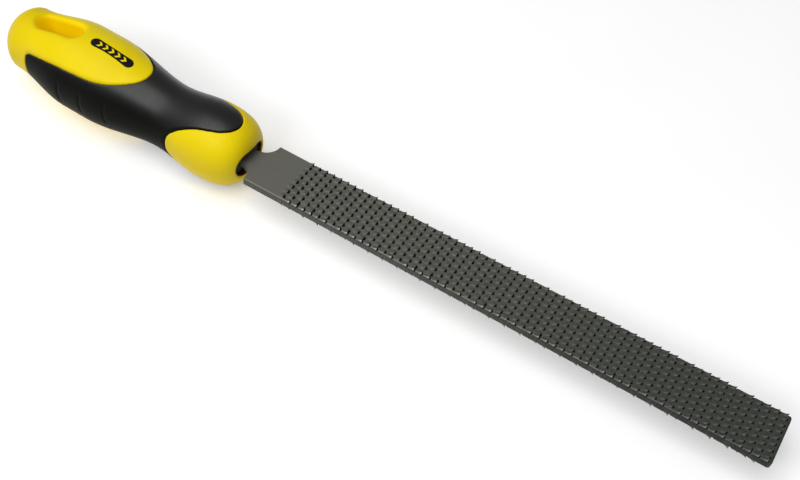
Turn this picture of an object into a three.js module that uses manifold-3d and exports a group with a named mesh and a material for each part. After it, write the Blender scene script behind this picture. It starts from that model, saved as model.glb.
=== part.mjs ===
// Wood rasp: a flat toothed blade whose tang is driven into a two-colour moulded handle.
// Millimetres, +Z up, +X from the handle to the blade tip. The tool is drawn about the middle of
// the blade's shoulder, and the last lines set its box centre over the origin and its lowest line on z = 0.
import * as THREE from "three";
import { mergeGeometries, mergeVertices } from "three/addons/utils/BufferGeometryUtils.js";
import Module from "manifold-3d";

const wasm = await Module();
wasm.setup();

// Blade
const BLADE_LENGTH = 200;
const BLADE_WIDTH = 20.7;
const BLADE_THICKNESS = 3.2;
const TIP_CORNER_RADIUS = 1;
const SHOULDER_FILLET_RADIUS = 6;
const SHOULDER_SKEW = 0.9;
const TANG_ROOT_WIDTH = 7.8;
const TANG_END_WIDTH = 3.6;
const TANG_LENGTH = 68;

// Teeth, the same on both faces
const PLAIN_HEEL = 13.8;
const ROW_PITCH = 2.9975;
const TOOTH_PITCH = 2.7855;
const ROW_SHIFT_SHARE = 0.4395;
const FIRST_SHIFT_SHARE = 0.204;
const TOOTH_HEIGHT = 1.1;
const TOOTH_WIDTH = 1.9;
const TOOTH_RAMP = 1.6;
const TOOTH_LEAN = 0.22;
const TOOTH_ROOT_DEPTH = 0.4;
const PLAIN_TIP = 1.5;
const SAFE_EDGE = 0.25;

// Handle, measured along the tool from the nose of the handle back to the butt; radii are half widths
const HANDLE_LENGTH = 111;
const NOSE_BEHIND_SHOULDER = 3.9;
const NOSE_RADIUS = 14.4;
const NOSE_CAP_LENGTH = 17;
const NOSE_CAP_POWER = 2.7;
const WAIST_RADIUS = 12.2;
const WAIST_FROM_NOSE = 36;
const PALM_RADIUS = 16.3;
const PALM_FROM_NOSE = 66.7;
const PALM_FLAT = 10.2;
const BUTT_RADIUS = 12.1;
const BUTT_CAP_LENGTH = 9.4;
const BUTT_CAP_POWER = 1.6;
const HEIGHT_TO_WIDTH = 1.06;
const BUTT_RISE = 2.6;
const RISE_FROM_NOSE = 6;

// Openings in the handle
const MOUTH_WIDTH = 15.6;
const MOUTH_HEIGHT = 10;
const MOUTH_DEPTH = 71.5;
const SLOT_LENGTH = 20.4;
const SLOT_WIDTH = 7.4;
const SLOT_END_WALL = 13.7;

// Tang socket inside the shell
const SOCKET_RECESS = 3.2;

// Soft grip, let into the shell. The two tongue outlines hold half widths at distances back from their tips:
// the grip's own tongue points to the nose, and the shell's tongue points forward between the grip's wings.
const GRIP_DEPTH = 2.2;
const GRIP_FRONT = 6.1;
const GRIP_TONGUE = [
  [0, 0], [0.5, 2.5], [1.8, 4.8], [4.3, 6.9], [8, 8.4], [12.3, 9.6], [16.3, 10.5], [20.4, 11.4], [23.2, 12.2],
  [24.5, 12.9], [24.9, 14],
];
const SHELL_TONGUE_FRONT = 46.2;
const SHELL_TONGUE = [
  [0, 0], [0.5, 3.2], [2.7, 6.6], [6.6, 9.4], [11.5, 11.6], [17.2, 12.8], [24, 13.2], [35, 13.4], [46.8, 12.2],
];
const GRIP_REAR_END = 94.7;
const GRIP_CORNER_RADIUS = 1.5;

// Fits and mesh fineness
const FIT_GAP = 0.3;
const CUT_OVERRUN = 5;
const RINGS = 32;
const SEGMENTS = 32;
const CURVE_STEPS = 8;
const MERGE_DISTANCE = 1e-4;

const NOSE_X = -NOSE_BEHIND_SHOULDER;
const BUTT_X = NOSE_X - HANDLE_LENGTH;
const OUTSIDE = PALM_RADIUS * HEIGHT_TO_WIDTH + BUTT_RISE + CUT_OVERRUN;

const finish = (color, roughness, metalness) =>
  new THREE.MeshStandardMaterial({ color, roughness, metalness });

function toSolid(geometry) {
  const bare = geometry.index ? geometry.toNonIndexed() : geometry.clone();
  bare.deleteAttribute("normal");
  bare.deleteAttribute("uv");
  const merged = mergeVertices(bare, MERGE_DISTANCE);
  const corners = merged.index.array;
  const kept = [];
  for (let i = 0; i < corners.length; i += 3) {
    const [a, b, c] = [corners[i], corners[i + 1], corners[i + 2]];
    if (a !== b && b !== c && c !== a) kept.push(a, b, c);
  }
  return new wasm.Manifold(
    new wasm.Mesh({
      numProp: 3,
      vertProperties: new Float32Array(merged.attributes.position.array),
      triVerts: new Uint32Array(kept),
    }),
  );
}

function toPiece(name, solid, material) {
  const mesh = solid.getMesh();
  const geometry = new THREE.BufferGeometry();
  geometry.setAttribute("position", new THREE.BufferAttribute(new Float32Array(mesh.vertProperties), 3));
  geometry.setIndex(new THREE.BufferAttribute(new Uint32Array(mesh.triVerts), 1));
  geometry.computeVertexNormals();
  const piece = new THREE.Mesh(geometry, material);
  piece.name = name;
  return piece;
}

// A flat outline in X and Y, made into a slab from z = low to z = high.
function slab(shape, low, high, curveSegments = CURVE_STEPS) {
  const geometry = new THREE.ExtrudeGeometry(shape, { depth: high - low, bevelEnabled: false, curveSegments });
  return toSolid(geometry.translate(0, 0, low));
}

// Blade with its tang: heel corners are sharp, and a hollow fillet runs from each into the tang. The shoulder
// is cropped a little off square, so its far corner stands forward and its near corner back.
function bladeShape() {
  const half = BLADE_WIDTH / 2;
  const root = TANG_ROOT_WIDTH / 2;
  const end = TANG_END_WIDTH / 2;
  const r = SHOULDER_FILLET_RADIUS;
  const nearMiddle = -r - SHOULDER_SKEW;
  const farMiddle = -r + SHOULDER_SKEW;
  const shape = new THREE.Shape();
  shape.moveTo(-TANG_LENGTH, -end);
  shape.lineTo(nearMiddle, -root);
  shape.absarc(nearMiddle, -root - r, r, Math.PI / 2, 0, true);
  shape.lineTo(-SHOULDER_SKEW, -half);
  shape.lineTo(BLADE_LENGTH - TIP_CORNER_RADIUS, -half);
  shape.absarc(BLADE_LENGTH - TIP_CORNER_RADIUS, -half + TIP_CORNER_RADIUS, TIP_CORNER_RADIUS, -Math.PI / 2, 0);
  shape.absarc(BLADE_LENGTH - TIP_CORNER_RADIUS, half - TIP_CORNER_RADIUS, TIP_CORNER_RADIUS, 0, Math.PI / 2);
  shape.lineTo(SHOULDER_SKEW, half);
  shape.lineTo(SHOULDER_SKEW, root + r);
  shape.absarc(farMiddle, root + r, r, 0, -Math.PI / 2, true);
  shape.lineTo(-TANG_LENGTH, end);
  shape.closePath();
  return shape;
}

// One tooth: a ramp that climbs from the handle side to a point, then drops steeply towards the tip.
function toothGeometry() {
  const half = TOOTH_WIDTH / 2;
  const corners = [
    [-TOOTH_RAMP, 0, -TOOTH_ROOT_DEPTH],
    [0, -half, -TOOTH_ROOT_DEPTH],
    [0, half, -TOOTH_ROOT_DEPTH],
    [TOOTH_LEAN, 0, TOOTH_HEIGHT],
  ];
  const faces = [0, 2, 1, 0, 1, 3, 1, 2, 3, 2, 0, 3];
  const geometry = new THREE.BufferGeometry();
  geometry.setAttribute("position", new THREE.Float32BufferAttribute(faces.flatMap((i) => corners[i]), 3));
  return geometry;
}

// The teeth stand in rows square to the blade, and each row is shifted sideways from the last.
function toothPlaces() {
  const places = [];
  const reach = (BLADE_WIDTH - TOOTH_WIDTH) / 2 - SAFE_EDGE;
  const firstRow = PLAIN_HEEL + TOOTH_RAMP;
  for (let row = 0; firstRow + row * ROW_PITCH < BLADE_LENGTH - PLAIN_TIP; row += 1) {
    const shift = ((row * ROW_SHIFT_SHARE + FIRST_SHIFT_SHARE) % 1) * TOOTH_PITCH;
    const first = Math.ceil((shift - reach) / TOOTH_PITCH);
    for (let column = first; column * TOOTH_PITCH - shift <= reach; column += 1) {
      places.push([firstRow + row * ROW_PITCH, column * TOOTH_PITCH - shift]);
    }
  }
  return places;
}

function toothedFace() {
  const tooth = toothGeometry();
  const top = BLADE_THICKNESS / 2;
  return mergeGeometries(toothPlaces().map(([x, y]) => tooth.clone().translate(x, y, top)));
}

function raspBlade() {
  const body = slab(bladeShape(), -BLADE_THICKNESS / 2, BLADE_THICKNESS / 2);
  const topTeeth = toSolid(toothedFace());
  const bottomTeeth = toSolid(toothedFace().rotateX(Math.PI));
  return toPiece("rasp_blade", body.add(topTeeth).add(bottomTeeth), finish(0x5c5c54, 0.45, 0.9));
}

// How far the handle's centre line has risen above the blade's, at a distance behind the nose.
function riseAt(fromNose) {
  return BUTT_RISE * THREE.MathUtils.smoothstep(fromNose, RISE_FROM_NOSE, HANDLE_LENGTH);
}

// The bare turned outline: nose, waist, palm swell and butt, joined by eased curves and closed by round caps.
function radiusAt(fromNose) {
  const stations = [
    [NOSE_CAP_LENGTH, NOSE_RADIUS],
    [WAIST_FROM_NOSE, WAIST_RADIUS],
    [PALM_FROM_NOSE, PALM_RADIUS],
    [PALM_FROM_NOSE + PALM_FLAT, PALM_RADIUS],
    [HANDLE_LENGTH - BUTT_CAP_LENGTH, BUTT_RADIUS],
  ];
  let radius = NOSE_RADIUS;
  for (let i = 1; i < stations.length; i += 1) {
    const [from, before] = stations[i - 1];
    const [to, after] = stations[i];
    if (fromNose > from) radius = THREE.MathUtils.lerp(before, after, THREE.MathUtils.smoothstep(fromNose, from, to));
  }
  const capped = (share, power) => (1 - Math.max(share, 0) ** power) ** (1 / power);
  const intoNose = capped((NOSE_CAP_LENGTH - fromNose) / NOSE_CAP_LENGTH, NOSE_CAP_POWER);
  const intoButt = capped((fromNose - HANDLE_LENGTH + BUTT_CAP_LENGTH) / BUTT_CAP_LENGTH, BUTT_CAP_POWER);
  return radius * intoNose * intoButt;
}

// The handle's outer solid, or the same solid with its whole skin moved inwards.
function handleSolid(inset) {
  const profile = [];
  const kept = (HANDLE_LENGTH - 2 * inset) / HANDLE_LENGTH;
  for (let i = 0; i <= RINGS; i += 1) {
    const fromNose = ((1 - Math.cos((Math.PI * i) / RINGS)) / 2) * HANDLE_LENGTH;
    const isEnd = i === 0 || i === RINGS;
    const radius = isEnd ? 0 : Math.max(radiusAt(fromNose) - inset, inset);
    profile.push(new THREE.Vector2(radius, -(inset + fromNose * kept)));
  }
  const geometry = new THREE.LatheGeometry(profile.reverse(), SEGMENTS);
  geometry.rotateZ(-Math.PI / 2);
  geometry.scale(1, 1, HEIGHT_TO_WIDTH);
  const places = geometry.attributes.position;
  for (let i = 0; i < places.count; i += 1) {
    places.setZ(i, places.getZ(i) + riseAt(-places.getX(i)));
  }
  return toSolid(geometry.translate(NOSE_X, 0, 0));
}

// Both sides of a tongue outline, from one side round the tip to the other, in a curve through its points.
function tongueRound(outline, tip, grow) {
  const side = outline.slice(1).map(([back, half]) => new THREE.Vector2(tip - back + grow, half + grow));
  const otherSide = side.map(({ x, y }) => new THREE.Vector2(x, -y));
  return [...side.reverse(), new THREE.Vector2(tip + grow, 0), ...otherSide];
}

// Outline of the soft grip seen from above, grown outwards by a margin. The nose is at x = 0, the butt behind.
function gripShape(grow) {
  const front = tongueRound(GRIP_TONGUE, -GRIP_FRONT, grow).reverse();
  const rear = tongueRound(SHELL_TONGUE, -SHELL_TONGUE_FRONT, -grow);
  const end = -GRIP_REAR_END - grow;
  const corner = GRIP_CORNER_RADIUS;
  const wingSide = rear[0].y + corner;
  const shape = new THREE.Shape();
  shape.moveTo(front[0].x, -OUTSIDE);
  shape.lineTo(front[0].x, front[0].y);
  shape.splineThru(front.slice(1));
  shape.lineTo(front[0].x, OUTSIDE);
  shape.lineTo(end, OUTSIDE);
  shape.absarc(end + corner, wingSide, corner, Math.PI, 1.5 * Math.PI);
  shape.lineTo(rear[0].x, rear[0].y);
  shape.splineThru(rear.slice(1));
  shape.absarc(end + corner, -wingSide, corner, Math.PI / 2, Math.PI);
  shape.lineTo(end, -OUTSIDE);
  shape.closePath();
  return shape;
}

function gripCutter(grow) {
  return slab(gripShape(grow), -OUTSIDE, OUTSIDE).translate(NOSE_X, 0, 0);
}

function softGrip(outer) {
  const grip = gripCutter(0).intersect(outer).subtract(handleSolid(GRIP_DEPTH));
  return toPiece("soft_grip", grip, finish(0x26282a, 0.7, 0));
}

// A slot with round ends, longest along X.
function stadiumShape(length, width) {
  const r = width / 2;
  const straight = length / 2 - r;
  const shape = new THREE.Shape();
  shape.absarc(-straight, 0, r, Math.PI / 2, 1.5 * Math.PI);
  shape.absarc(straight, 0, r, -Math.PI / 2, Math.PI / 2);
  shape.closePath();
  return shape;
}

// A straight bar of stadium section, lying along X from one place to another.
function stadiumBar(width, height, from, to) {
  const geometry = new THREE.ExtrudeGeometry(stadiumShape(width, height), {
    depth: to - from,
    bevelEnabled: false,
    curveSegments: CURVE_STEPS,
  });
  geometry.rotateX(Math.PI / 2);
  geometry.rotateZ(Math.PI / 2);
  return toSolid(geometry.translate(from, 0, 0));
}

function handleShell(outer) {
  const recess = gripCutter(FIT_GAP).subtract(handleSolid(GRIP_DEPTH + FIT_GAP));
  const mouth = stadiumBar(MOUTH_WIDTH, MOUTH_HEIGHT, NOSE_X - MOUTH_DEPTH, NOSE_X + CUT_OVERRUN);
  const slotMiddle = BUTT_X + SLOT_END_WALL + SLOT_LENGTH / 2;
  const slot = slab(stadiumShape(SLOT_LENGTH, SLOT_WIDTH), -OUTSIDE, OUTSIDE).translate(slotMiddle, 0, 0);
  const shell = outer.subtract(recess).subtract(mouth).subtract(slot);
  return toPiece("handle_shell", shell, finish(0xf0d70a, 0.4, 0));
}

// The black core that grips the tang: it fills the mouth bore, and its own hole follows the tang.
function tangSocket() {
  const from = NOSE_X - MOUTH_DEPTH + FIT_GAP;
  const to = NOSE_X - SOCKET_RECESS;
  const core = stadiumBar(MOUTH_WIDTH - 2 * FIT_GAP, MOUTH_HEIGHT - 2 * FIT_GAP, from, to);
  const taper = (TANG_ROOT_WIDTH - TANG_END_WIDTH) / (TANG_LENGTH - SHOULDER_FILLET_RADIUS);
  const halfEnd = TANG_END_WIDTH / 2 + FIT_GAP;
  const mouthX = to + CUT_OVERRUN;
  const endX = -TANG_LENGTH - FIT_GAP;
  const halfMouth = halfEnd + (mouthX - endX) * (taper / 2);
  const hole = new THREE.Shape();
  hole.moveTo(endX, -halfEnd);
  hole.lineTo(mouthX, -halfMouth);
  hole.lineTo(mouthX, halfMouth);
  hole.lineTo(endX, halfEnd);
  hole.closePath();
  const halfHeight = BLADE_THICKNESS / 2 + FIT_GAP;
  return toPiece("tang_socket", core.subtract(slab(hole, -halfHeight, halfHeight)), finish(0x141414, 0.6, 0));
}

const outer = handleSolid(0);
const tool = new THREE.Group();
tool.add(raspBlade(), tangSocket(), handleShell(outer), softGrip(outer));

const box = new THREE.Box3().setFromObject(tool);
const middle = box.getCenter(new THREE.Vector3());
tool.position.set(-middle.x, -middle.y, -box.min.z);

const group = new THREE.Group();
group.add(tool);

export default group;
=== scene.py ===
import math

import bpy
import numpy as np
from mathutils import Matrix, Vector, geometry


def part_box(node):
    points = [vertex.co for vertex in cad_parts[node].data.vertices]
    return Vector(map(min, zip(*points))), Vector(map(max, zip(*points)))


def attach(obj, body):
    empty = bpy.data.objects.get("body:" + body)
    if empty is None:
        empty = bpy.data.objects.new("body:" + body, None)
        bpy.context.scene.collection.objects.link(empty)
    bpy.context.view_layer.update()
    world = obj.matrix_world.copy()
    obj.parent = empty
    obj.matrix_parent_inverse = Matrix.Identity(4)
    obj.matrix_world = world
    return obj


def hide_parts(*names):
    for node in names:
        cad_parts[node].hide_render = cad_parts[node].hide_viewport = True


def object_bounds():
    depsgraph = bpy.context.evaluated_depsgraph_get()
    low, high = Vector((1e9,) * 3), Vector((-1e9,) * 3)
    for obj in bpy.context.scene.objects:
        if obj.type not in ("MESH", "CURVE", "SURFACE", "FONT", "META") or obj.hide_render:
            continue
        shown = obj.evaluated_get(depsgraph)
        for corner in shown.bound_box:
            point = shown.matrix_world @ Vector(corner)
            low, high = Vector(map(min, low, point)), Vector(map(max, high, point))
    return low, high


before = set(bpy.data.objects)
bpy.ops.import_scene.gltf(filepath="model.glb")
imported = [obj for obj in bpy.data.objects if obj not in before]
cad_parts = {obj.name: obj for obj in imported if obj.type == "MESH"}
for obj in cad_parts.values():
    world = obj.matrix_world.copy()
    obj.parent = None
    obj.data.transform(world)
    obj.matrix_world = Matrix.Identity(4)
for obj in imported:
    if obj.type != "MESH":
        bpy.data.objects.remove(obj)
cad_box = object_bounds()

# The rasp blade: one flat bar of hardened tool steel with punched teeth on both faces. A slanted punch lifts
# each tooth and leaves a hollow in front of it. The heel behind the first row is plain, and hollow fillets
# lead from its square corners into the tang, which is driven into the handle.
MM = 0.001
BLADE_LENGTH = 200
BLADE_HALF_WIDTH = 10.35
BLADE_HALF_THICKNESS = 1.6
TIP_CORNER_RADIUS = 1
EDGE_CHAMFER = 0.24
FILLET_RADIUS = 6
SHOULDER_SKEW = 0.9
TANG_LENGTH = 68
TANG_ROOT_HALF = 3.9
TANG_END_HALF = 1.8
FIRST_PEAK = 15.4
ROW_PITCH = 2.9975
TOOTH_ROWS = 62
TOOTH_PITCH = 2.7855
TOOTH_COLUMNS = range(-4, 6)
ROW_SHIFT_SHARE = 0.4395
FIRST_SHIFT_SHARE = 0.204
TOOTH_REACH = 11.6
OUTERMOST_TOOTH = 9.95
TOOTH_HEIGHT = 1.1
TOOTH_HEIGHT_SHARES = (0.86, 1)
TOOTH_HALF_WIDTH = 0.88
TOOTH_WIDTH_SHARES = (0.93, 1.04)
TOOTH_RAMP = 1.95
RAMP_CURVE = 3.2
LOW_RAMP_SHARE = 0.12
FULL_RAMP_GROWTH = 1.5
CREST_SQUARENESS = 3
CREST_CURVE = 0.8
TOOTH_LEAN = 0.22
LEAN_CURVE = 3
LEAN_LOSS_WHEN_FULL = 2
HOLLOW_DEPTH = 0.6
HOLLOW_RUN = 0.9
HOLLOW_NARROWING = 0.4
HOLLOW_SQUARENESS = 3
HOLLOW_CURVE = 1.5
BEFORE_ROW = -2
ROW_RUNS = (-1.45, -1, -0.6, -0.25, 0, 0.06, 0.35, 0.7)
ACROSS_TOOTH = (-1, -0.86, -0.55, 0, 0.55, 0.86, 1)
ACROSS_PLAIN = (-1, -0.8, -0.4, 0, 0.4, 0.8, 1)
UNDER_REACH = 10.9
UNDER_TIP_FROM = 150
UNDER_TIP_TO = 182
UNDER_TIP_GROWTH = 0.3
END_DROP = 0.7
HEEL_STATIONS = (-TANG_LENGTH, -40, -20, -12, -9, -FILLET_RADIUS)
FILLET_TURNS = (15, 30, 45, 58, 70, 80)
TIP_TURNS = (22, 45, 62, 76)
NEXT_TO = 0.02
PUNCHING_SEED = 7
SHARP_ANGLE = 38

blade_low, blade_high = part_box("rasp_blade")
SHOULDER = Vector((blade_high.x - BLADE_LENGTH * MM, 0, (blade_low.z + blade_high.z) / 2))


def make_piece(name, points, faces, normals=None):
    """A mesh from points in millimetres about the middle of the blade's shoulder."""
    mesh = bpy.data.meshes.new(name)
    mesh.from_pydata(np.asarray(points, float) * MM + np.array(SHOULDER), [], faces)
    mesh.polygons.foreach_set("use_smooth", [True] * len(mesh.polygons))
    if normals is not None:
        mesh.normals_split_custom_set_from_vertices(normals)
    mesh.update()
    piece = bpy.data.objects.new(name, mesh)
    bpy.context.scene.collection.objects.link(piece)
    return piece


def blade_half_width(x):
    if x < -FILLET_RADIUS:
        share = (x + TANG_LENGTH) / (TANG_LENGTH - FILLET_RADIUS)
        return TANG_END_HALF + (TANG_ROOT_HALF - TANG_END_HALF) * share
    if x < 0:
        return TANG_ROOT_HALF + FILLET_RADIUS - math.sqrt(FILLET_RADIUS**2 - (x + FILLET_RADIUS) ** 2)
    into_corner = max(x - BLADE_LENGTH + TIP_CORNER_RADIUS, 0)
    corner = math.sqrt(max(TIP_CORNER_RADIUS**2 - into_corner**2, 0))
    return BLADE_HALF_WIDTH - TIP_CORNER_RADIUS + corner


def eased(value, start, end):
    """0 at start, 1 at end, and an easy curve between."""
    share = np.clip((value - start) / (end - start), 0, 1)
    return share * share * (3 - 2 * share)


def teeth_in_row(row, side, growth, random):
    """Each tooth: its middle across the blade, share of full height, half width and fullness."""
    shift = ((row * ROW_SHIFT_SHARE + FIRST_SHIFT_SHARE) % 1) * TOOTH_PITCH
    teeth = []
    for column in TOOTH_COLUMNS:
        middle = column * TOOTH_PITCH - shift
        size = random.uniform(*TOOTH_HEIGHT_SHARES) * growth
        half = TOOTH_HALF_WIDTH * random.uniform(*TOOTH_WIDTH_SHARES)
        if abs(middle) > (TOOTH_REACH if side > 0 else UNDER_REACH):
            continue
        if side > 0:
            middle = min(max(middle, -OUTERMOST_TOOTH), OUTERMOST_TOOTH)
        teeth.append((middle, size, half, growth - 1))
    return teeth


def tooth_surface(run, y, teeth):
    """Height of the face and its forward lean, at a run past the row's line of points."""
    best, lean = 0, 0
    for middle, size, half, fullness in teeth:
        across = abs(y - middle) / half
        if across >= 1:
            continue
        if run > 0:
            along = min(run / HOLLOW_RUN, 1)
            narrowed = min(across / (1 - HOLLOW_NARROWING * along), 1)
            hollow = (1 - narrowed**HOLLOW_SQUARENESS) * (1 - along**HOLLOW_CURVE)
            best = min(best, -HOLLOW_DEPTH * hollow)
            continue
        crest = (1 - across**CREST_SQUARENESS) ** CREST_CURVE
        ramp = max(1 + run / TOOTH_RAMP, 0)
        low = LOW_RAMP_SHARE + FULL_RAMP_GROWTH * fullness
        height = TOOTH_HEIGHT * size * crest * (low * ramp + (1 - low) * ramp**RAMP_CURVE)
        if height > best:
            best = height
            lean = TOOTH_LEAN * (1 - LEAN_LOSS_WHEN_FULL * fullness) * crest * ramp**LEAN_CURVE
    return best, lean


def blade_stations(side, random):
    """Every line across the blade: its x, its places across or none where plain, its teeth and run."""
    fillet = [-FILLET_RADIUS * (1 - math.sin(math.radians(turn))) for turn in FILLET_TURNS]
    before_teeth = FIRST_PEAK + BEFORE_ROW
    for x in (*HEEL_STATIONS, *fillet, -NEXT_TO, NEXT_TO, before_teeth / 3, before_teeth * 2 / 3):
        yield x, None, [], 0
    limit = BLADE_HALF_WIDTH - EDGE_CHAMFER
    for row in range(TOOTH_ROWS):
        peak = FIRST_PEAK + row * ROW_PITCH
        growth = 1 + (side < 0) * UNDER_TIP_GROWTH * eased(peak, UNDER_TIP_FROM, UNDER_TIP_TO)
        teeth = teeth_in_row(row, side, growth, random)
        places = {-limit, limit}
        for middle, _, half, _ in teeth:
            places.update(middle + half * a for a in ACROSS_TOOTH if abs(middle + half * a) < limit)
        for run in (BEFORE_ROW, *ROW_RUNS):
            yield peak + run, sorted(places), teeth, run
    corner = BLADE_LENGTH - TIP_CORNER_RADIUS
    turned = [corner + TIP_CORNER_RADIUS * math.sin(math.radians(turn)) for turn in TIP_TURNS]
    for x in (FIRST_PEAK + BEFORE_ROW + TOOTH_ROWS * ROW_PITCH, corner, *turned, BLADE_LENGTH):
        yield x, None, [], 0


def join_lines(back, front, same_places):
    """Faces between two lines of (place, point): four-sided where the places match, else three-sided."""
    i = j = 0
    faces = []
    while i < len(back) - 1 or j < len(front) - 1:
        if same_places:
            faces.append((back[i][1], front[j][1], front[j + 1][1], back[i + 1][1]))
            i, j = i + 1, j + 1
        elif j == len(front) - 1 or (i < len(back) - 1 and back[i + 1][0] < front[j + 1][0]):
            faces.append((back[i][1], front[j][1], back[i + 1][1]))
            i += 1
        else:
            faces.append((back[i][1], front[j][1], front[j + 1][1]))
            j += 1
    return faces


def rasp_blade_mesh():
    """Lines of points across the top and the underside, joined along both edges and over both ends."""
    random = np.random.default_rng(PUNCHING_SEED)
    points, faces, sides = [], [], []
    for side in (1, -1):
        lines = []
        last_places = None
        for x, places, teeth, run in blade_stations(side, random):
            half = blade_half_width(x)
            inner = places or [place * (half - EDGE_CHAMFER) for place in ACROSS_PLAIN]
            into_end = min(max(x - BLADE_LENGTH + TIP_CORNER_RADIUS, 0) / TIP_CORNER_RADIUS, 1)
            face = BLADE_HALF_THICKNESS - END_DROP * (1 - math.sqrt(1 - into_end**2))
            skew = SHOULDER_SKEW * (eased(x, -TANG_LENGTH, -FILLET_RADIUS) - eased(x, 0, FIRST_PEAK))
            line = []
            for y in (-half, *inner, half):
                height, lean = tooth_surface(run, y, teeth)
                z = face - EDGE_CHAMFER + min(height, 0) if abs(y) == half else face + height
                line.append((y, len(points)))
                points.append((x + lean + skew * side * y / half, y * side, z * side))
            if lines:
                faces += join_lines(lines[-1], line, places == last_places)
            lines.append(line)
            last_places = places
        sides.append(lines)
    top, bottom = sides
    for here, there, under, under_there in zip(top, top[1:], bottom, bottom[1:]):
        faces.append((here[-1][1], there[-1][1], under_there[0][1], under[0][1]))
        faces.append((there[0][1], here[0][1], under[-1][1], under_there[-1][1]))
    faces.append([point for _, point in top[0] + bottom[0]])
    faces.append([point for _, point in top[-1][::-1] + bottom[-1][::-1]])
    return points, faces


rasp_blade = make_piece("rasp_blade_steel", *rasp_blade_mesh())
rasp_blade.data.set_sharp_from_angle(angle=math.radians(SHARP_ANGLE))


class Shade:
    """A number or colour that varies over a surface. Arithmetic on numbers adds Math nodes."""

    def __init__(self, finish, socket):
        self.finish, self.socket = finish, socket

    def maths(self, operation, *terms):
        return self.finish.node("Math", {"operation": operation}, dict(enumerate(terms)))

    def __add__(self, other):
        return self.maths("ADD", self, other)

    def __sub__(self, other):
        return self.maths("SUBTRACT", self, other)

    def __rsub__(self, other):
        return self.maths("SUBTRACT", other, self)

    def __mul__(self, other):
        return self.maths("MULTIPLY", self, other)

    def __pow__(self, other):
        return self.maths("POWER", self, other)

    __radd__ = __add__
    __rmul__ = __mul__

    def absolute(self):
        return self.maths("ABSOLUTE", self)

    def at_least(self, limit):
        return self.maths("MAXIMUM", self, limit)

    def at_most(self, limit):
        return self.maths("MINIMUM", self, limit)

    def between(self, low, high):
        """0 at low, 1 at high, eased between."""
        settings = {"interpolation_type": "SMOOTHSTEP"}
        return self.finish.node("MapRange", settings, {"Value": self, "From Min": low, "From Max": high})


class Finish:
    """One material: constants go on the shader's own sockets, and nodes drive what varies."""

    def __init__(self, name, **constants):
        self.material = bpy.data.materials.new(name)
        self.material.use_nodes = True
        self.tree = self.material.node_tree
        self.shader = self.tree.nodes["Principled BSDF"]
        for socket, value in constants.items():
            self.shader.inputs[socket.replace("_", " ")].default_value = value
        place = self.node("TexCoord", output="Object")
        self.place = self.node("VectorMath", {"operation": "SCALE"}, {0: place, "Scale": 1 / MM})
        self.facing = self.node("TexCoord", output="Normal")

    def node(self, kind, settings=None, inputs=None, output=0):
        made = self.tree.nodes.new("ShaderNode" + kind)
        for setting, value in (settings or {}).items():
            setattr(made, setting, value)
        for key, value in (inputs or {}).items():
            if isinstance(value, Shade):
                self.tree.links.new(value.socket, made.inputs[key])
            else:
                made.inputs[key].default_value = value
        return Shade(self, made.outputs[output])

    def drive(self, socket, shade):
        self.tree.links.new(shade.socket, self.shader.inputs[socket])

    def axis(self, letter, vector=None):
        """One part of a vector, or of the place in millimetres."""
        return self.node("SeparateXYZ", None, {0: vector or self.place}, output=letter)

    def from_middle_line(self, along, across, half_straight):
        """Distance from the straight middle line of a shape with round ends."""
        past_straight = (along.absolute() - half_straight).at_least(0)
        return (past_straight * past_straight + across * across) ** 0.5

    def noise(self, size, detail=3, stretch=(1, 1, 1)):
        """Cloudy noise from 0 to 1 with features of about this size, in millimetres."""
        place = self.node("VectorMath", {"operation": "MULTIPLY"}, {0: self.place, 1: stretch})
        inputs = {"Vector": place, "Scale": 1 / size, "Detail": detail}
        return self.node("TexNoise", None, inputs)

    def blend(self, factor, first, second):
        """The first colour where the factor is 0, and the second where it is 1."""
        settings = {"data_type": "RGBA"}
        inputs = {0: factor, 6: first, 7: second}
        return self.node("Mix", settings, inputs, output=2)

    def bump(self, height, depth, under=None):
        """A normal from a height map whose full swing is this deep, in millimetres."""
        inputs = {"Height": height, "Distance": depth * MM}
        if under is not None:
            inputs["Normal"] = under
        return self.node("Bump", None, inputs)


def paint(red, green, blue):
    """A screen colour, 0 to 255, as a linear colour."""
    def linear(value):
        value /= 255
        return value / 12.92 if value <= 0.04045 else ((value + 0.055) / 1.055) ** 2.4
    return (linear(red), linear(green), linear(blue), 1)


HEEL_STEEL, TIP_STEEL = paint(114, 114, 106), paint(62, 69, 62)
# Painted shade for the sides of the blade, at the heel and at the tip.
SHADED_SIDE_AT_HEEL, SHADED_SIDE_AT_TIP = paint(58, 58, 52), paint(16, 16, 12)
MOTTLED_STEEL = paint(72, 68, 60)
BRIGHT_GRAIN = paint(150, 152, 144)
# A painted highlight on the teeth that the sides cut through.
CUT_TOOTH_GLINT = paint(190, 192, 184)
# A painted highlight on the crests of the teeth.
CREST_HIGHLIGHT = paint(128, 136, 140)
# Painted shade for the hollows and the fronts of the teeth.
PIT_SHADE = paint(18, 19, 15)

steel = Finish("hardened_steel", Metallic=0.5, IOR=1.6)
along = steel.axis("X")
across = steel.axis("Y").absolute()
off_middle = (steel.axis("Z") - SHOULDER.z / MM).absolute()
turned_forward = steel.axis("X", steel.facing)
mottle = steel.noise(1.3, 5)
grain = steel.noise(0.28, 3)
brushed = steel.noise(0.5, 3, (0.06, 1, 1))
towards_tip = along.between(SHOULDER.x / MM + 10, blade_high.x / MM)
above_face = off_middle.between(BLADE_HALF_THICKNESS - 0.25, BLADE_HALF_THICKNESS + 0.1)
toothed = along.between(SHOULDER.x / MM + FIRST_PEAK + BEFORE_ROW, SHOULDER.x / MM + FIRST_PEAK)

# The faces darken toward the tip. Among the teeth they are mottled and have a bright grain.
hue = steel.blend(towards_tip, HEEL_STEEL, TIP_STEEL)
hue = steel.blend(mottle.between(0.35, 0.7) * (toothed * 0.5 + 0.06), hue, MOTTLED_STEEL)
hue = steel.blend(grain.between(0.52, 0.72) * toothed * 0.35, hue, BRIGHT_GRAIN)
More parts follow.
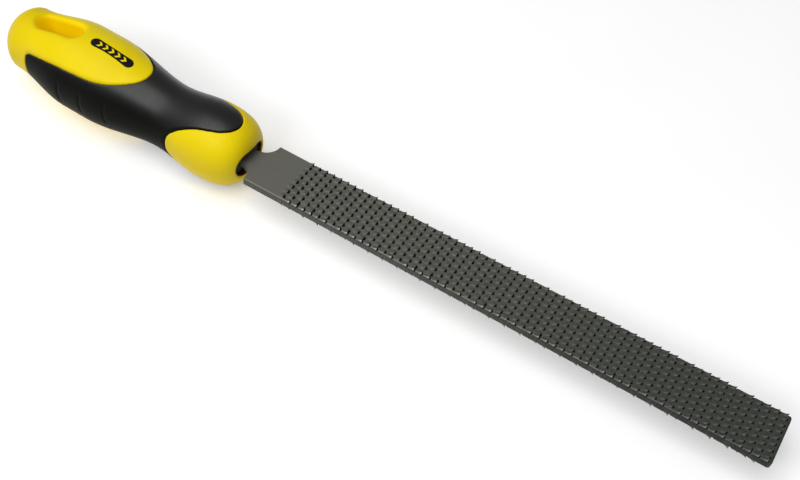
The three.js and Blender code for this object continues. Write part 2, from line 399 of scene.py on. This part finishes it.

# The ground sides are painted darker as shade, most of all toward the tip, and the teeth that the side cuts
# through get a painted highlight.
side_strip = across.between(BLADE_HALF_WIDTH - 0.05, BLADE_HALF_WIDTH) * (1 - above_face)
shaded_side_steel = steel.blend(towards_tip, SHADED_SIDE_AT_HEEL, SHADED_SIDE_AT_TIP)
hue = steel.blend(side_strip * (towards_tip * 0.05 + 0.9), hue, shaded_side_steel)
chamfer = BLADE_HALF_WIDTH - EDGE_CHAMFER
cut_tooth_glint = across.between(chamfer, BLADE_HALF_WIDTH - EDGE_CHAMFER / 2) * above_face
hue = steel.blend(cut_tooth_glint * toothed * (0.75 - towards_tip * 0.5), hue, CUT_TOOTH_GLINT)

# The crests get a painted bluish highlight, stronger toward the tip. Painted shade darkens the hollows and
# the front of each tooth.
crest_highlight = off_middle.between(BLADE_HALF_THICKNESS + 0.6, BLADE_HALF_THICKNESS + 1.1)
hue = steel.blend(crest_highlight * (towards_tip * 0.3 + 0.2), hue, CREST_HIGHLIGHT)
in_hollow = 1 - off_middle.between(BLADE_HALF_THICKNESS - 0.3, BLADE_HALF_THICKNESS - 0.05)
pit_shade = (in_hollow * (1 - side_strip) + turned_forward.between(0.3, 0.7)).at_most(1)
hue = steel.blend(pit_shade * toothed * 0.9, hue, PIT_SHADE)
steel.drive("Base Color", hue)
steel.drive("Roughness", 0.42 + grain * 0.14 + mottle * 0.08)
steel.drive("Normal", steel.bump(brushed, 0.01, steel.bump(grain, 0.02)))
rasp_blade.data.materials.append(steel.material)
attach(rasp_blade, "root")
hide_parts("rasp_blade")

# The tang socket: the black core of the handle, moulded first. The tang is pressed into its flat hole,
# and its front end shows as a dark pocket deep in the mouth of the handle.
core_plastic = Finish("black_core_plastic", Specular_IOR_Level=0.35)
core_mottle = core_plastic.noise(1.5, 4)
core_plastic.drive("Base Color", core_plastic.blend(core_mottle, paint(14, 13, 12), paint(26, 24, 22)))
core_plastic.drive("Roughness", 0.55 + core_mottle * 0.2)
core_plastic.drive("Normal", core_plastic.bump(core_plastic.noise(0.35), 0.03))
tang_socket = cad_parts["tang_socket"]
tang_socket.data.materials.clear()
tang_socket.data.materials.append(core_plastic.material)

# The handle shell: hard yellow plastic moulded over the core, with a round nose, a waist, a palm swell and
# a butt with a hanging slot. A pocket in its skin takes the soft grip, and the mouth lets the blade in.
NOSE_X = -3.9
HANDLE_LENGTH = 111
NOSE_RADIUS = 14.4
NOSE_CAP_LENGTH = 17
NOSE_CAP_POWER = 2.7
BUTT_RADIUS = 12.1
BUTT_CAP_LENGTH = 9.4
BUTT_CAP_POWER = 1.6
HANDLE_STATIONS = ((NOSE_CAP_LENGTH, NOSE_RADIUS), (36, 12.2), (66.7, 16.3), (76.9, 16.3),
                   (HANDLE_LENGTH - BUTT_CAP_LENGTH, BUTT_RADIUS))
HEIGHT_TO_WIDTH = 1.06
BUTT_RISE = 2.6
RISE_FROM_NOSE = 6
MOUTH_HALF_WIDTH = 7.8
MOUTH_HALF_HEIGHT = 5
MOUTH_DEPTH = 71.5
MOUTH_LIP = 1.3
SLOT_LENGTH = 20.4
SLOT_HALF_WIDTH = 3.7
SLOT_END_WALL = 13.7
SLOT_RIM = 2.8
SLOT_MIDDLE = NOSE_X - HANDLE_LENGTH + SLOT_END_WALL + SLOT_LENGTH / 2
GRIP_DEPTH = 2.2
GRIP_FRONT = 6.1
GRIP_TONGUE = ((0.5, 2.3), (1.8, 4.3), (4.4, 6.3), (8.2, 7.7), (12.3, 8.8), (16.3, 9.9), (20.4, 11),
               (23.2, 11.9), (24.5, 12.9), (24.9, 14))
GRIP_REAR_END = 94.7
GRIP_CORNER_RADIUS = 1.5
GRIP_CORNER_FLATNESS = 0.3
SHELL_TONGUE_FRONT = 46.2
SHELL_TONGUE = ((0.5, 2.6), (2.4, 5.4), (6.6, 8.6), (11.5, 11), (17.2, 12.5), (24, 13), (35, 13.2),
                (46.8, 11.7))
SEAM_GAP = 0.05
SEAM_ROUNDING = 0.7
FAR_OUT = 24
SKIN_STEP = 0.45
SKIN_PASSES = 4
LEAST_SLOPE = 0.05
CURVE_STEPS = 8
GRIP_CORNER_TURNS = (0, 30, 60, 90)


def handle_rise(back):
    """How far the handle's middle line climbs, at a distance back from the nose."""
    return BUTT_RISE * eased(back, RISE_FROM_NOSE, HANDLE_LENGTH)


def outside_handle(x, y, z):
    """About how far a place is outside the handle's smooth outer form, negative inside it."""
    back = NOSE_X - x
    radius = np.full(np.shape(back), float(NOSE_RADIUS))
    for (start, before), (end, after) in zip(HANDLE_STATIONS, HANDLE_STATIONS[1:]):
        radius = np.where(back > start, before + (after - before) * eased(back, start, end), radius)
    out = np.hypot(y, (z - handle_rise(back)) / HEIGHT_TO_WIDTH) / radius
    into_nose = np.maximum(1 - back / NOSE_CAP_LENGTH, 0)
    into_butt = np.maximum((back - HANDLE_LENGTH) / BUTT_CAP_LENGTH + 1, 0)
    nose = (out**NOSE_CAP_POWER + into_nose**NOSE_CAP_POWER) ** (1 / NOSE_CAP_POWER)
    butt = (out**BUTT_CAP_POWER + into_butt**BUTT_CAP_POWER) ** (1 / BUTT_CAP_POWER)
    return radius * (np.where(back < HANDLE_LENGTH / 2, nose, butt) - 1)


def both(first, second, rounding):
    """Inside both forms, with the edge between them rounded."""
    blend = np.maximum(rounding - np.abs(first - second), 0) / rounding
    return np.maximum(first, second) + blend * blend * rounding / 4


def outside_stadium(along, across, half_length, half_width):
    """Distance outside a slot shape with round ends."""
    return np.hypot(np.maximum(np.abs(along) - half_length + half_width, 0), across) - half_width


def curve_through(points):
    """A smooth line through its points."""
    ends = [points[0]] + list(points) + [points[-1]]
    line = []
    for a, b, c, d in zip(ends, ends[1:], ends[2:], ends[3:]):
        a, b, c, d = (np.array(p, float) for p in (a, b, c, d))
        bend, twist = 2 * a - 5 * b + 4 * c - d, 3 * b - a - 3 * c + d
        for t in np.linspace(0, 1, CURVE_STEPS, endpoint=False):
            line.append(b + (c - a) * t / 2 + bend * t**2 / 2 + twist * t**3 / 2)
    return line + [np.array(points[-1], float)]


def tongue_line(outline, tip):
    """One side, the tip and the other side of a tongue, as places seen from above."""
    side = [(NOSE_X - tip - back, half) for back, half in outline]
    return curve_through([*reversed(side), (NOSE_X - tip, 0), *((x, -y) for x, y in side)])


def grip_outline():
    """The rubber's edge as seen from above: round the front tongue, and back round the shell's tongue."""
    front = tongue_line(GRIP_TONGUE, GRIP_FRONT)
    rear = tongue_line(SHELL_TONGUE, SHELL_TONGUE_FRONT)
    end = NOSE_X - GRIP_REAR_END
    corner = GRIP_CORNER_RADIUS
    wing = SHELL_TONGUE[-1][1]
    near = []
    for turn in GRIP_CORNER_TURNS:
        a = math.radians(turn)
        flattened = corner * GRIP_CORNER_FLATNESS
        near.append((end + corner * (1 - math.sin(a)), wing + flattened * (1 - math.cos(a))))
    far = [(x, -y) for x, y in reversed(near)]
    line = [(front[0][0], FAR_OUT), *front, (front[-1][0], -FAR_OUT)]
    line += [(end, -FAR_OUT), *far, *reversed(rear), *near, (end, FAR_OUT)]
    return np.array(line, float)


GRIP_OUTLINE = grip_outline()


def into_grip(x, y):
    """Distance inside the grip's outline, as seen from above; negative outside it."""
    shape = np.broadcast_shapes(np.shape(x), np.shape(y))
    nearest = np.full(shape, np.inf)
    inside = np.zeros(shape, bool)
    for (ax, ay), (bx, by) in zip(GRIP_OUTLINE, np.roll(GRIP_OUTLINE, -1, 0)):
        run, rise = bx - ax, by - ay
        share = np.clip(((x - ax) * run + (y - ay) * rise) / (run * run + rise * rise), 0, 1)
        nearest = np.minimum(nearest, (x - ax - share * run) ** 2 + (y - ay - share * rise) ** 2)
        if rise:
            inside ^= ((ay > y) != (by > y)) & (x < ax + (y - ay) * run / rise)
    return np.where(inside, 1, -1) * np.sqrt(nearest)


def handle_shell_form(x, y, z):
    """Below zero in the plastic: the outer form less its slot, its mouth and the grip's pocket."""
    outer = outside_handle(x, y, z)
    pocket = both(-into_grip(x, y) - SEAM_GAP, -outer - GRIP_DEPTH - SEAM_GAP, SEAM_ROUNDING)
    mouth = outside_stadium(y, z, MOUTH_HALF_WIDTH, MOUTH_HALF_HEIGHT)
    mouth = np.maximum(mouth, NOSE_X - MOUTH_DEPTH - x)
    slot = outside_stadium(x - SLOT_MIDDLE, y, SLOT_LENGTH / 2, SLOT_HALF_WIDTH)
    shell = both(outer, -slot, SLOT_RIM)
    shell = both(shell, -mouth, MOUTH_LIP)
    return both(shell, -pocket, SEAM_ROUNDING)


def skin(form, low, high, step):
    """A closed mesh over the place where a form is zero, with its points drawn onto the form."""
    axes = [np.arange(a, b + step, step) for a, b in zip(low, high)]
    value = form(*np.meshgrid(*axes, indexing="ij", sparse=True))
    inside = value < 0
    shape = tuple(n - 1 for n in inside.shape)
    total = np.zeros((*shape, 3))
    count = np.zeros(shape)
    grid = np.stack(np.meshgrid(*axes, indexing="ij"), -1)
    corner_cut = [slice(0, -1), slice(1, None)]
    for axis in range(3):
        others = [i for i in range(3) if i != axis]
        for u in (0, 1):
            for v in (0, 1):
                start = [None] * 3
                start[axis], start[others[0]], start[others[1]] = corner_cut[0], corner_cut[u], corner_cut[v]
                stop = list(start)
                stop[axis] = corner_cut[1]
                start, stop = tuple(start), tuple(stop)
                crossed = inside[start] != inside[stop]
                share = np.where(crossed, value[start] / np.where(crossed, value[start] - value[stop], 1), 0)
                total += crossed[..., None] * (grid[start] + share[..., None] * (grid[stop] - grid[start]))
                count += crossed
    used = count > 0
    number = np.full(shape, -1)
    number[used] = np.arange(used.sum())
    points = total[used] / count[used][:, None]
    faces = []
    for axis in range(3):
        u, v = [(1, 2), (2, 0), (0, 1)][axis]
        here = [slice(1, -1)] * 3
        here[axis] = slice(0, -1)
        there = list(here)
        there[axis] = slice(1, None)
        a, b = inside[tuple(here)], inside[tuple(there)]
        place = np.argwhere(a != b)
        place[:, u] += 1
        place[:, v] += 1
        back_u, back_v = np.eye(3, dtype=int)[u], np.eye(3, dtype=int)[v]
        ring = [place - back_u - back_v, place - back_v, place, place - back_u]
        quads = np.stack([number[tuple(corner.T)] for corner in ring], 1)
        leaving = a[a != b]
        quads[~leaving] = quads[~leaving][:, ::-1]
        faces.append(quads)
    faces = np.concatenate(faces)
    nudge = step / 500
    for _ in range(SKIN_PASSES):
        here = form(*points.T)
        slope = np.stack([(form(*(points + nudge * way).T) - here) / nudge for way in np.eye(3)], 1)
        steep = np.maximum((slope**2).sum(1), LEAST_SLOPE)
        move = -(here / steep)[:, None] * slope
        reach = np.linalg.norm(move, axis=1)
        points = points + move * np.minimum(1, step / 2 / np.maximum(reach, 1e-9))[:, None]
    normals = slope / np.maximum(np.linalg.norm(slope, axis=1), 1e-9)[:, None]
    return points, faces, normals


HANDLE_LOW = (NOSE_X - HANDLE_LENGTH - 1.3, -18, -18.5)
HANDLE_HIGH = (NOSE_X + 1.2, 18, 21.5)
points, faces, normals = skin(handle_shell_form, HANDLE_LOW, HANDLE_HIGH, SKIN_STEP)
handle_shell = make_piece("handle_shell_yellow", points, faces.tolist(), normals)

DEEP_YELLOW, LIGHT_YELLOW = paint(236, 209, 3), paint(241, 216, 8)
DUSTY_YELLOW = paint(222, 186, 20)
SHADED_YELLOW = paint(203, 178, 1)
# Painted shade for the bore of the mouth.
MOUTH_SHADE = paint(62, 36, 8)
SLOT_GLOW = paint(146, 116, 0)
NO_GLOW = (0, 0, 0, 1)

yellow_plastic = Finish("yellow_plastic", Specular_IOR_Level=0.12, Emission_Strength=1)
flow = yellow_plastic.noise(16, 3)
dust = yellow_plastic.noise(1.1, 5)
skin_grain = yellow_plastic.noise(0.35, 2)
length_wise = yellow_plastic.axis("X") - SHOULDER.x / MM
sideways = yellow_plastic.axis("Y")
upwards = yellow_plastic.axis("Z") - SHOULDER.z / MM
yellow = yellow_plastic.blend(flow.between(0.25, 0.75), DEEP_YELLOW, LIGHT_YELLOW)
yellow = yellow_plastic.blend(dust.between(0.55, 0.85) * 0.12, yellow, DUSTY_YELLOW)

# The yellow is painted in shade on faces that look down, and toward the butt.
lit = yellow_plastic.axis("Z", yellow_plastic.facing).between(-0.1, 0.9)
lit = lit * (length_wise.between(-118, -84) * 0.5 + 0.5)
yellow = yellow_plastic.blend(lit, SHADED_YELLOW, yellow)

# The bore of the mouth is painted brown as shade behind its lip. The mask has no end at the back of the
# bore, so it also darkens the middle of the butt's end, which is a fault.
mouth_straight = MOUTH_HALF_WIDTH - MOUTH_HALF_HEIGHT
from_mouth = yellow_plastic.from_middle_line(sideways, upwards, mouth_straight)
bore_shade = 1 - from_mouth.between(MOUTH_HALF_HEIGHT + 0.1, MOUTH_HALF_HEIGHT + 0.4)
bore_shade = bore_shade * (1 - length_wise.between(-5.4, -4.4))
yellow = yellow_plastic.blend(bore_shade, yellow, MOUTH_SHADE)

# Thin yellow plastic passes light on, and a small glow on the slot's walls stands in for it.
slot_straight = SLOT_LENGTH / 2 - SLOT_HALF_WIDTH
from_slot = yellow_plastic.from_middle_line(length_wise - SLOT_MIDDLE, sideways, slot_straight)
glow = 1 - from_slot.between(SLOT_HALF_WIDTH, SLOT_HALF_WIDTH + 1)
yellow_plastic.drive("Emission Color", yellow_plastic.blend(glow, NO_GLOW, SLOT_GLOW))
yellow_plastic.drive("Base Color", yellow)
yellow_plastic.drive("Roughness", 0.36 + dust * 0.1)
yellow_plastic.drive("Normal", yellow_plastic.bump(skin_grain, 0.006))
handle_shell.data.materials.append(yellow_plastic.material)
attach(handle_shell, "root")
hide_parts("handle_shell")

# The soft grip: matt black rubber moulded into the shell's pocket, flush with it. It wraps the waist, its
# tongue points to the nose, and two wings reach back along the palm, each with three short finger nicks.
NICK_PLACES = (-60, -70.3, -80.3)
NICK_MIDDLE_Z = 1.2
NICK_HALF_LENGTH = 5.6
NICK_HALF_WIDTH = 0.55
NICK_DEPTH = 0.3
NICK_BOW = 0.035
NICK_END_RUN = 2.5
NICK_LEAST_Y = 5


def soft_grip_form(x, y, z):
    """Below zero in the rubber: a skin of the outer form, inside the grip's outline, with its nicks."""
    outer = outside_handle(x, y, z)
    nick = 0
    for place in NICK_PLACES:
        up = z - NICK_MIDDLE_Z
        across = (x - place + NICK_BOW * up - NICK_BOW * up * up / 2) / NICK_HALF_WIDTH
        end = eased(NICK_HALF_LENGTH - np.abs(up), 0, NICK_END_RUN)
        nick = nick + NICK_DEPTH * np.exp(-across * across) * end * (np.abs(y) > NICK_LEAST_Y)
    skin_side = both(outer + nick, SEAM_GAP - into_grip(x, y), SEAM_ROUNDING)
    return both(skin_side, -outer - GRIP_DEPTH, SEAM_ROUNDING)


points, faces, normals = skin(soft_grip_form, HANDLE_LOW, HANDLE_HIGH, SKIN_STEP)
soft_grip = make_piece("soft_grip_rubber", points, faces.tolist(), normals)

rubber = Finish("black_rubber", Specular_IOR_Level=0.04, Coat_Roughness=0.4, Coat_IOR=1.48)
rubber_cloud = rubber.noise(7, 4)
rubber_grain = rubber.noise(0.3, 3)
rubber_pores = rubber.node("TexVoronoi", None, {"Vector": rubber.place, "Scale": 2.2})
rubber.drive("Base Color", rubber.blend(rubber_cloud, paint(10, 12, 9), paint(17, 19, 15)))
rubber.drive("Roughness", 0.4 + rubber_cloud * 0.06 + rubber_grain * 0.05)
rubber.drive("Normal", rubber.bump(rubber_grain + rubber_pores * 0.5, 0.006))
# The glossy coat, and so its sheen, is laid by direction, only on faces that look up.
looks_up = rubber.axis("Z", rubber.facing).between(0.35, 0.85)
rubber.drive("Coat Weight", looks_up * (0.85 + rubber_cloud * 0.15))
soft_grip.data.materials.append(rubber.material)
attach(soft_grip, "root")
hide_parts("soft_grip")

# The printed panel: black ink laid on the top of the palm swell. It is a plain bar with round ends, and
# five bare chevrons in it point along the push stroke.
PANEL_MIDDLE = (-66, -0.9)
PANEL_LENGTH = 18.4
PANEL_HALF_WIDTH = 2.05
CHEVRONS = 5
CHEVRON_PITCH = 2.7
CHEVRON_HALF_HEIGHT = 1.15
CHEVRON_POINT = 1.1
CHEVRON_WIDTH = 1.05
INK_THICKNESS = 0.05
INK_STEP = 0.5
INK_SINK = 0.03
ABOVE_HANDLE = 30.0
HALVINGS = 40
PANEL_SHARP_ANGLE = 40


def top_of_handle(x, y):
    """Height of the handle's top skin above a place seen from above."""
    low, high = np.zeros(np.shape(x)), np.full(np.shape(x), ABOVE_HANDLE)
    for _ in range(HALVINGS):
        middle = (low + high) / 2
        inside = outside_handle(x, y, middle) < 0
        low, high = np.where(inside, middle, low), np.where(inside, high, middle)
    return low


def printed_panel_mesh():
    """A flat bar with chevron holes, filled with small faces and laid on the handle's top skin."""
    straight = PANEL_LENGTH / 2 - PANEL_HALF_WIDTH
    turns = [math.radians(a) for a in range(-90, 91, 10)]
    right = [(straight + PANEL_HALF_WIDTH * math.cos(a), PANEL_HALF_WIDTH * math.sin(a)) for a in turns]
    loops = [right + [(-x, -y) for x, y in right]]
    for number in range(CHEVRONS):
        x = (number - (CHEVRONS - 1) / 2) * CHEVRON_PITCH - (CHEVRON_POINT + CHEVRON_WIDTH) / 2
        upper = [(x, CHEVRON_HALF_HEIGHT), (x + CHEVRON_WIDTH, CHEVRON_HALF_HEIGHT)]
        point = (x + CHEVRON_POINT + CHEVRON_WIDTH, 0)
        lower = [(a, -b) for a, b in reversed(upper)]
        loops.append([*upper, point, *lower, (x + CHEVRON_POINT, 0)])
    flat, edges = [], []
    for loop in loops:
        edges += [(len(flat) + i, len(flat) + (i + 1) % len(loop)) for i in range(len(loop))]
        flat += loop
    fill_x = np.arange(-PANEL_LENGTH / 2, PANEL_LENGTH / 2, INK_STEP)
    fill_y = np.arange(-PANEL_HALF_WIDTH + INK_STEP / 2, PANEL_HALF_WIDTH, INK_STEP)
    flat += [(float(x), float(y)) for x in fill_x for y in fill_y if abs(x) < straight]
    places, _, faces, *_ = geometry.delaunay_2d_cdt([Vector(p) for p in flat], edges, [], 0, 1e-5)

    def in_loop(p, loop):
        odd = False
        for (ax, ay), (bx, by) in zip(loop, loop[1:] + loop[:1]):
            if (ay > p[1]) != (by > p[1]) and p[0] < ax + (p[1] - ay) * (bx - ax) / (by - ay):
                odd = not odd
        return odd

    kept = []
    for face in faces:
        middle = sum((places[i] for i in face), Vector((0, 0))) / len(face)
        if in_loop(middle, loops[0]) and not any(in_loop(middle, loop) for loop in loops[1:]):
            kept.append(face)
    x = np.array([p.x for p in places]) + PANEL_MIDDLE[0]
    y = np.array([p.y for p in places]) + PANEL_MIDDLE[1]
    top = top_of_handle(x, y)
    count = len(places)
    points = [*zip(x, y, top + INK_THICKNESS), *zip(x, y, top - INK_SINK)]
    sides = {}
    for face in kept:
        for a, b in zip(face, face[1:] + face[:1]):
            sides[(a, b)] = sides.get((a, b), 0) + 1
    rims = [(a, b, b + count, a + count) for a, b in sides if (b, a) not in sides]
    under = [tuple(i + count for i in reversed(face)) for face in kept]
    walls = [(b, a, c, d) for a, b, d, c in rims]
    used = sorted({i for face in kept for i in face})
    order = {old: new for new, old in enumerate(used + [i + count for i in used])}
    return [points[i] for i in order], [tuple(order[i] for i in face) for face in [*kept, *under, *walls]]


printed_panel = make_piece("printed_panel", *printed_panel_mesh())
printed_panel.data.set_sharp_from_angle(angle=math.radians(PANEL_SHARP_ANGLE))
ink = Finish("black_ink", Specular_IOR_Level=0.2)
ink_cloud = ink.noise(0.6, 4)
ink.drive("Base Color", ink.blend(ink_cloud, paint(5, 5, 4), paint(12, 12, 9)))
ink.drive("Roughness", 0.4 + ink_cloud * 0.15)
ink.drive("Normal", ink.bump(ink.noise(0.2), 0.006))
printed_panel.data.materials.append(ink.material)
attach(printed_panel, "root")

# The pale floor, the soft studio light and the camera. None of them is part of the rasp.
FLOOR_HALF = 3
FLOOR_DROP = 0.0002
floor_mesh = bpy.data.meshes.new("floor")
floor_z = cad_box[0][2] - FLOOR_DROP
corners = [(-1, -1), (1, -1), (1, 1), (-1, 1)]
corners = [(x * FLOOR_HALF, y * FLOOR_HALF, floor_z) for x, y in corners]
floor_mesh.from_pydata(corners, [], [(0, 1, 2, 3)])
floor = bpy.data.objects.new("floor", floor_mesh)
bpy.context.scene.collection.objects.link(floor)
paper = Finish("pale_paper", Roughness=0.9, Specular_IOR_Level=0.1, Emission_Strength=0.25)
paper_white = paper.blend(paper.noise(60, 4), paint(248, 248, 248), paint(252, 252, 252))
paper.drive("Base Color", paper_white)
paper.drive("Emission Color", paper_white)
floor_mesh.materials.append(paper.material)

ROOM_LIGHT = 0.28
world = bpy.data.worlds.new("soft_room")
world.use_nodes = True
room = world.node_tree.nodes["Background"]
room.inputs["Color"].default_value = (1, 1, 1, 1)
room.inputs["Strength"].default_value = ROOM_LIGHT
bpy.context.scene.world = world


def soft_box(name, target, way, distance, width, height, watts):
    """A rectangular lamp seen from target in the direction way."""
    lamp = bpy.data.lights.new(name, "AREA")
    lamp.shape = "RECTANGLE"
    lamp.size, lamp.size_y, lamp.energy = width, height, watts
    box = bpy.data.objects.new(name, lamp)
    way = Vector(way).normalized()
    box.location = Vector(target) + way * distance
    box.rotation_euler = way.to_track_quat("Z", "Y").to_euler()
    bpy.context.scene.collection.objects.link(box)


waist = SHOULDER + Vector((-45, -9, 8)) * MM
soft_box("near_box", waist, (-0.1, -0.77, 0.62), 1.2, 0.9, 0.3, 5)
soft_box("overhead_box", SHOULDER, (-0.2, -0.35, 1), 1.5, 1.2, 1.2, 12)

CAMERA_FROM_SHOULDER = Vector((164.56, -247.6, 315.74)) * MM
VIEW = Vector((-0.25586, 0.59598, -0.76115))
VIEW_RIGHT = Vector((0.85228, 0.51066, 0.11335))
SENSOR_WIDTH = 36
FOCAL_LENGTH = 53.75
NEAREST_SEEN = 0.01
lens = bpy.data.cameras.new("camera")
lens.sensor_width = SENSOR_WIDTH
lens.lens = FOCAL_LENGTH
lens.clip_start = NEAREST_SEEN
camera = bpy.data.objects.new("camera", lens)
view_up = VIEW_RIGHT.cross(VIEW)
turn = Matrix((VIEW_RIGHT, view_up, -VIEW)).transposed()
camera.matrix_world = Matrix.Translation(SHOULDER + CAMERA_FROM_SHOULDER) @ turn.to_4x4()
bpy.context.scene.collection.objects.link(camera)
bpy.context.scene.camera = camera
bpy.context.scene.view_settings.view_transform = "Standard"
